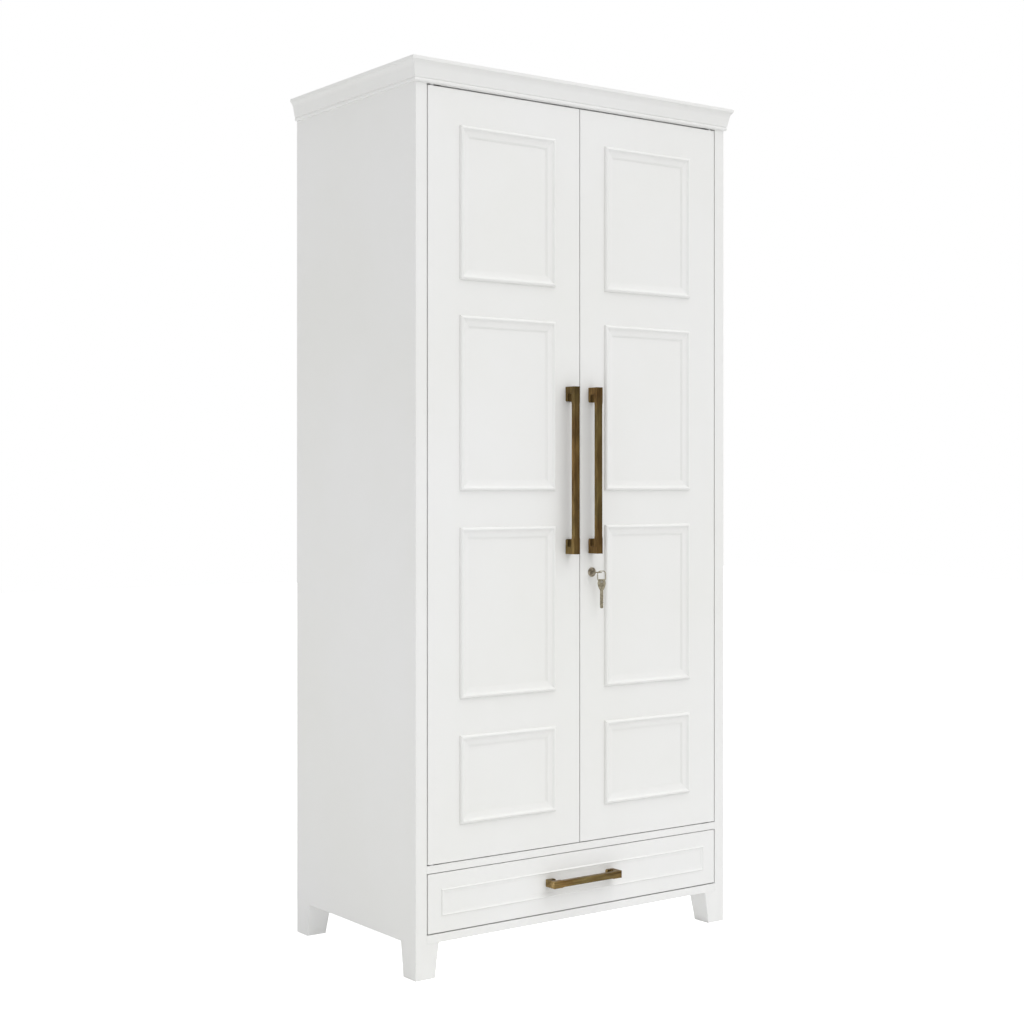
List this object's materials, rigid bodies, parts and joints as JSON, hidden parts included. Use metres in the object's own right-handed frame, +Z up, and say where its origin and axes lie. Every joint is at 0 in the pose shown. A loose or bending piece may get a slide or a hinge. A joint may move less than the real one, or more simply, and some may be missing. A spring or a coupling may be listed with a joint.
{
  "type": "wardrobe",
  "caption": "Tall white wardrobe with inset panelled doors, a full-width drawer below, moulded cornice, tapered feet, bar pulls and a keyed lock.",
  "frame": {"origin": "bottom centre of the overall box, on the floor", "axes": "+Z up, +X to the right of a person facing the doors, -Y out of the front"},
  "size_m": [0.988, 0.584, 2.1],
  "materials": {
    "white_paint": "satin white lacquer on board",
    "white_interior": "matt white melamine board",
    "back_board": "matt white thin hardboard",
    "drawer_box": "matt white board",
    "antique_brass": "aged dark brass, brushed",
    "aged_lock": "aged nickel-brass",
    "key_nickel": "worn nickel plate",
    "steel": "zinc plated",
    "chrome_rail": "polished",
    "beech": "plain beech",
    "catch_plastic": "white moulded catch"
  },
  "bodies": {
    "carcass": {"back_panel": "back_board", "bottom_panel": "white_interior", "bottom_rail": "white_paint", "carcass_dowels": "beech", "carcass_screws": "steel", "centre_partition": "white_interior", "cornice_front": "white_paint", "cornice_left": "white_paint", "cornice_right": "white_paint", "divider_panel": "white_interior", "foot_front_left": "white_paint", "foot_front_right": "white_paint", "foot_rear_left": "white_paint", "foot_rear_right": "white_paint", "hanging_rail": "chrome_rail", "magnetic_catches": "catch_plastic", "mid_rail": "white_paint", "pivot_pins": "steel", "rail_sockets": "chrome_rail", "runner_outer_members": "steel", "runner_packers": "white_interior", "shelf_1": "white_interior", "shelf_2": "white_interior", "shelf_3": "white_interior", "shelf_pins": "steel", "side_panel_left": "white_paint", "side_panel_right": "white_paint", "stile_left": "white_paint", "stile_right": "white_paint", "top_panel": "white_paint", "top_rail": "white_paint"},
    "left_door": {"door_slab_left": "white_paint", "panel_mouldings_left": "white_paint", "door_pull_left": "antique_brass", "pivot_bushes_left": "steel", "strike_plate_left": "steel", "door_screws_left": "steel"},
    "right_door": {"door_slab_right": "white_paint", "panel_mouldings_right": "white_paint", "door_pull_right": "antique_brass", "pivot_bushes_right": "steel", "strike_plate_right": "steel", "door_screws_right": "steel", "lock_barrel": "aged_lock", "lock_nut": "steel"},
    "lock": {"lock_plug": "aged_lock", "lock_key": "key_nickel", "lock_cam": "steel"},
    "key_ring": {"key_ring": "key_nickel"},
    "spare_key": {"spare_key": "key_nickel"},
    "drawer": {"drawer_front": "white_paint", "drawer_moulding": "white_paint", "drawer_pull": "antique_brass", "drawer_side_left": "drawer_box", "drawer_side_right": "drawer_box", "drawer_back": "drawer_box", "drawer_bottom": "drawer_box", "drawer_screws": "steel", "runner_inner_members": "steel"},
    "runner_slides": {"runner_middle_members": "steel"}
  },
  "joints": [
    {"name": "left_door_hinge", "type": "hinge", "parent": "carcass", "child": "left_door", "pos_m": [-0.4287, -0.251, 1.15], "axis": [0, 0, -1], "range_deg": [0, 110]},
    {"name": "right_door_hinge", "type": "hinge", "parent": "carcass", "child": "right_door", "pos_m": [0.4287, -0.251, 1.15], "axis": [0, 0, 1], "range_deg": [0, 110]},
    {"name": "drawer_slide", "type": "slide", "parent": "carcass", "child": "drawer", "axis": [0, -1, 0], "range_m": [0, 0.4]},
    {"name": "runner_slide", "type": "slide", "parent": "carcass", "child": "runner_slides", "axis": [0, -1, 0], "range_m": [0, 0.2]},
    {"name": "lock_turn", "type": "hinge", "parent": "right_door", "child": "lock", "pos_m": [0.037, -0.258, 0.9155], "axis": [0, 1, 0], "range_deg": [0, 90]},
    {"name": "key_ring_hang", "type": "hinge", "parent": "lock", "child": "key_ring", "pos_m": [0.0413, -0.283, 0.9155], "axis": [0, 1, 0], "range_deg": [-90, 0]},
    {"name": "spare_key_swing", "type": "hinge", "parent": "key_ring", "child": "spare_key", "pos_m": [0.0479, -0.283, 0.8936], "axis": [1, 0, 0], "range_deg": [-60, 14]}
  ],
  "couplings": [
    {"joint": "runner_slide", "follows": "drawer_slide", "ratio": 0.5},
    {"joint": "key_ring_hang", "follows": "lock_turn", "ratio": -1}
  ]
}
